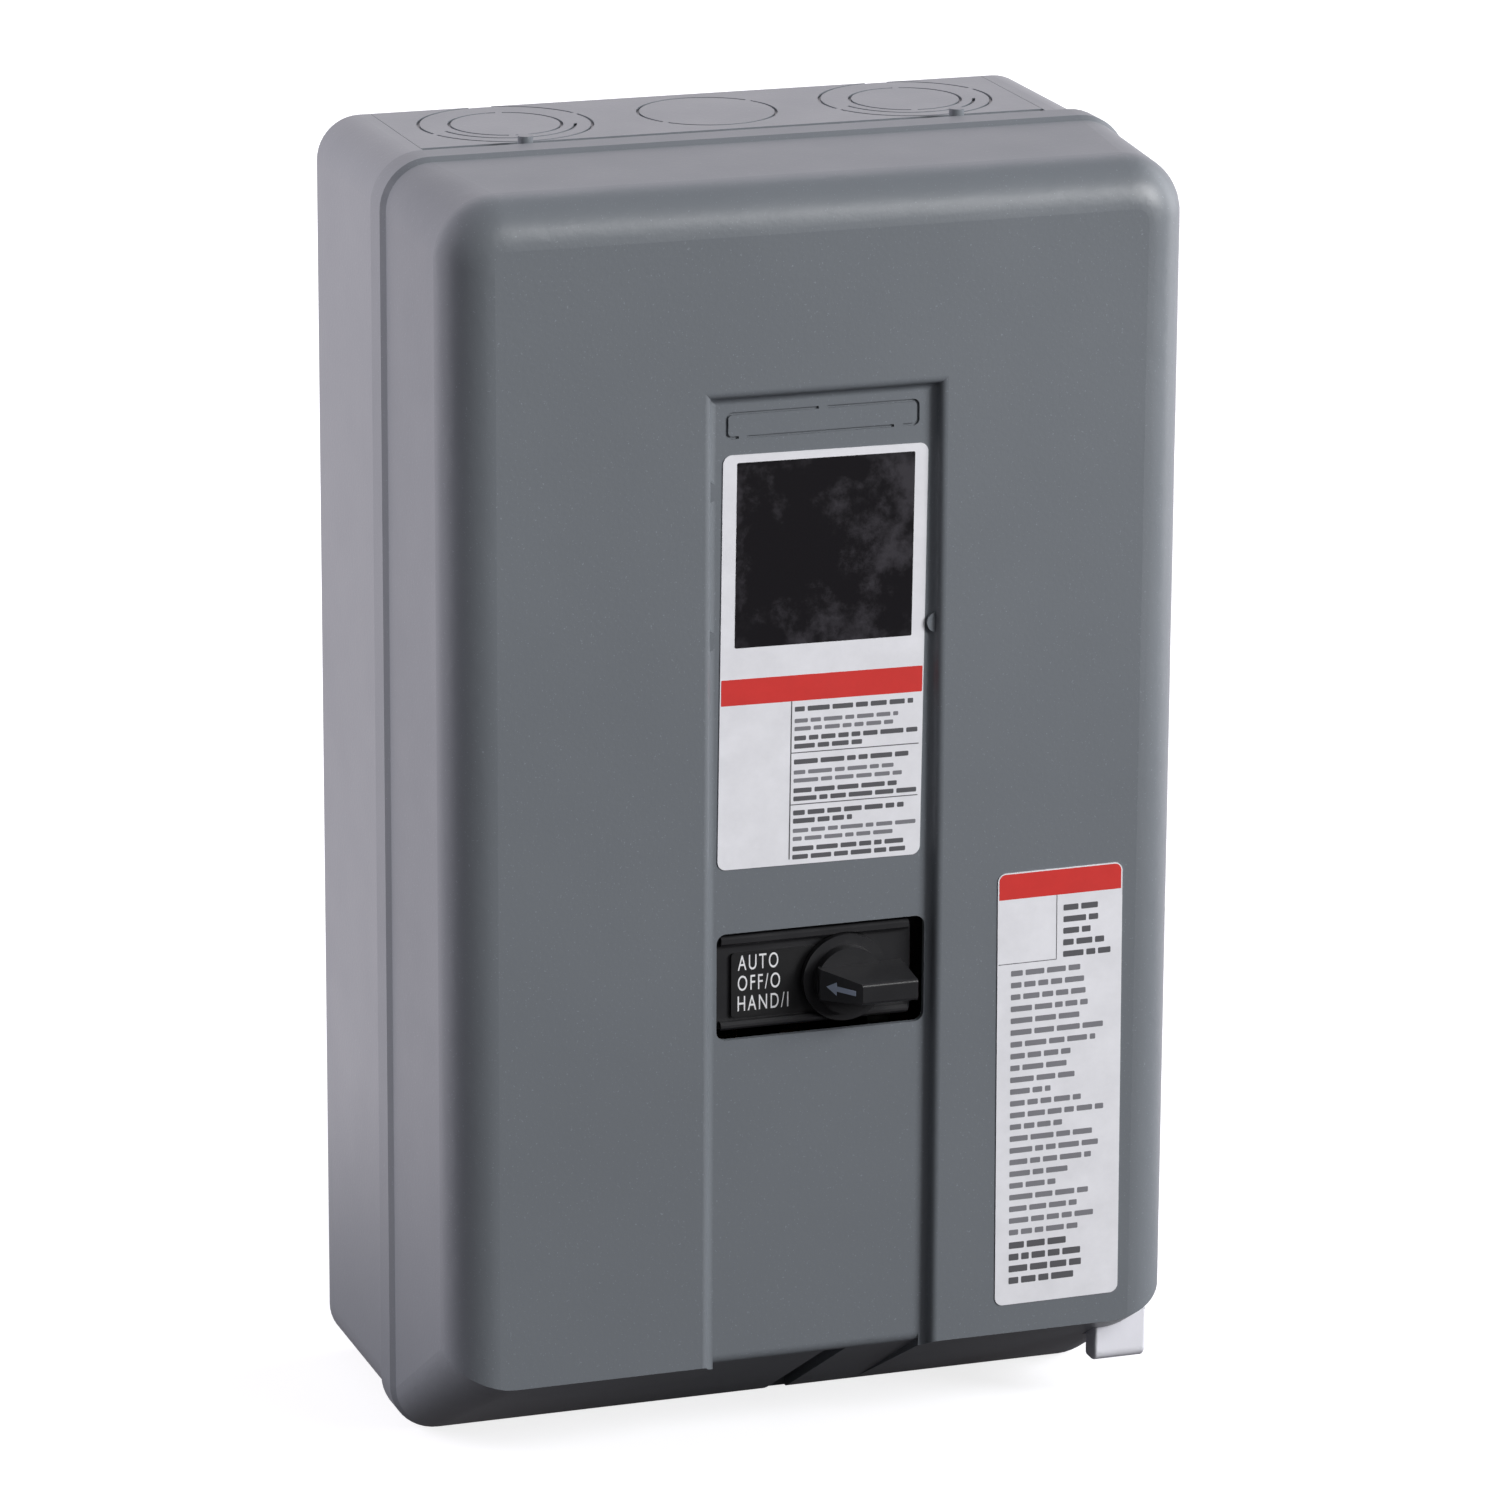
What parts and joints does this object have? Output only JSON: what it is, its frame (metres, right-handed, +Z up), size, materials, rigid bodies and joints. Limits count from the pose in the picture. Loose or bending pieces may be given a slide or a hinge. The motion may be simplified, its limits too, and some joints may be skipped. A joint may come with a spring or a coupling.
{
  "type": "magnetic motor starter",
  "caption": "Wall-mounted enclosed motor starter: steel box with lift-off drawn cover, rotary selector, reset tab, and contactor with overload relay inside.",
  "frame": {"origin": "centre of the flat back of the box, in the plane that rests on the wall", "axes": "+Z up, front faces -Y, +X to the right of someone facing the cover, +Y into the wall"},
  "size_m": [0.195, 0.125, 0.3315],
  "materials": {
    "grey_paint": "semi-gloss grey enamel",
    "zinc_steel": "zinc plated, satin",
    "black_moulding": "fine matte",
    "lamination_steel": "stacked laminations, ground faces",
    "bobbin_nylon": "natural",
    "coil_tape": "varnished tape",
    "copper": "bright",
    "heater_brass": "satin",
    "white_nylon": "satin",
    "red_nylon": "satin",
    "spring_steel": "bright drawn wire",
    "label_white": "printed film",
    "legend_black": "engraved",
    "arrow_pale": "satin",
    "lug_aluminium": "tin plated",
    "green_paint": "gloss"
  },
  "bodies": {
    "case": {"arc_cover": "black_moulding", "arc_cover_screws": "zinc_steel", "bottom_end_plate": "grey_paint", "bracket_screws": "zinc_steel", "coil_bobbin": "bobbin_nylon", "coil_terminal_screws": "zinc_steel", "coil_winding": "coil_tape", "contact_block": "black_moulding", "contactor_base": "black_moulding", "contactor_screws": "zinc_steel", "cover_screw_bracket": "zinc_steel", "cover_studs": "grey_paint", "ground_lug": "lug_aluminium", "ground_screw": "green_paint", "housing": "grey_paint", "legend_plate": "legend_black", "line_contacts": "copper", "line_terminal_screws": "zinc_steel", "link_straps": "copper", "load_contacts": "copper", "load_terminal_screws": "zinc_steel", "magnet_core": "lamination_steel", "motor_terminals": "copper", "mounting_plate": "zinc_steel", "overload_base": "black_moulding", "overload_screws": "zinc_steel", "overload_terminal_screws": "zinc_steel", "plate_screws": "zinc_steel", "reset_bar_spring": "spring_steel", "return_springs": "spring_steel", "selector_body": "black_moulding", "selector_bracket": "zinc_steel", "selector_screws": "zinc_steel", "switch_block": "black_moulding", "switch_terminal_screws": "zinc_steel", "thermal_unit_1": "heater_brass", "thermal_unit_2": "heater_brass", "thermal_unit_3": "heater_brass", "thermal_unit_screws": "zinc_steel", "top_end_plate": "grey_paint", "trip_module": "black_moulding", "trip_terminal_screws": "zinc_steel"},
    "cover": {"cover": "grey_paint", "main_label": "label_white", "side_label": "label_white", "lever_guide": "white_nylon", "lever_spring": "spring_steel"},
    "cover_screw": {"cover_screw": "zinc_steel"},
    "knob": {"selector_knob": "black_moulding", "knob_arrow": "arrow_pale", "selector_shaft": "bobbin_nylon"},
    "slider": {"switch_slider": "bobbin_nylon"},
    "carrier": {"armature": "lamination_steel", "contact_carrier": "bobbin_nylon", "contact_bridges": "copper", "contact_springs": "spring_steel"},
    "reset_lever": {"reset_lever": "white_nylon"},
    "reset_bar": {"reset_bar": "red_nylon"}
  },
  "joints": [
    {"name": "cover_lift_off", "type": "slide", "parent": "case", "child": "cover", "axis": [0, -1, 0], "range_m": [0, 0.09]},
    {"name": "cover_screw_turn", "type": "hinge", "parent": "cover", "child": "cover_screw", "pos_m": [0.0062, -0.06, -0.1574], "axis": [0, 1, 0], "continuous": true},
    {"name": "knob_turn", "type": "hinge", "parent": "case", "child": "knob", "pos_m": [0.0078, -0.1, -0.0392], "axis": [0, 1, 0], "range_deg": [-45, 45]},
    {"name": "slider_shift", "type": "slide", "parent": "case", "child": "slider", "axis": [1, 0, 0], "range_m": [-0.0036, 0.0036]},
    {"name": "contactor_pull_in", "type": "slide", "parent": "case", "child": "carrier", "axis": [0, 1, 0], "range_m": [0, 0.0039], "stiffness_N_per_m": 600, "springref_m": -0.005, "deforming": ["return_springs"]},
    {"name": "reset_push", "type": "slide", "parent": "cover", "child": "reset_lever", "axis": [0, 0, 1], "range_m": [0, 0.005], "stiffness_N_per_m": 150, "springref_m": -0.004, "deforming": ["lever_spring"]},
    {"name": "reset_bar_lift", "type": "slide", "parent": "case", "child": "reset_bar", "axis": [0, 0, 1], "range_m": [0, 0.005], "stiffness_N_per_m": 150, "springref_m": -0.004, "deforming": ["reset_bar_spring"]}
  ],
  "couplings": [
    {"joint": "slider_shift", "follows": "knob_turn", "m_per_rad": 0.0045},
    {"joint": "reset_bar_lift", "follows": "reset_push", "ratio": 1}
  ]
}
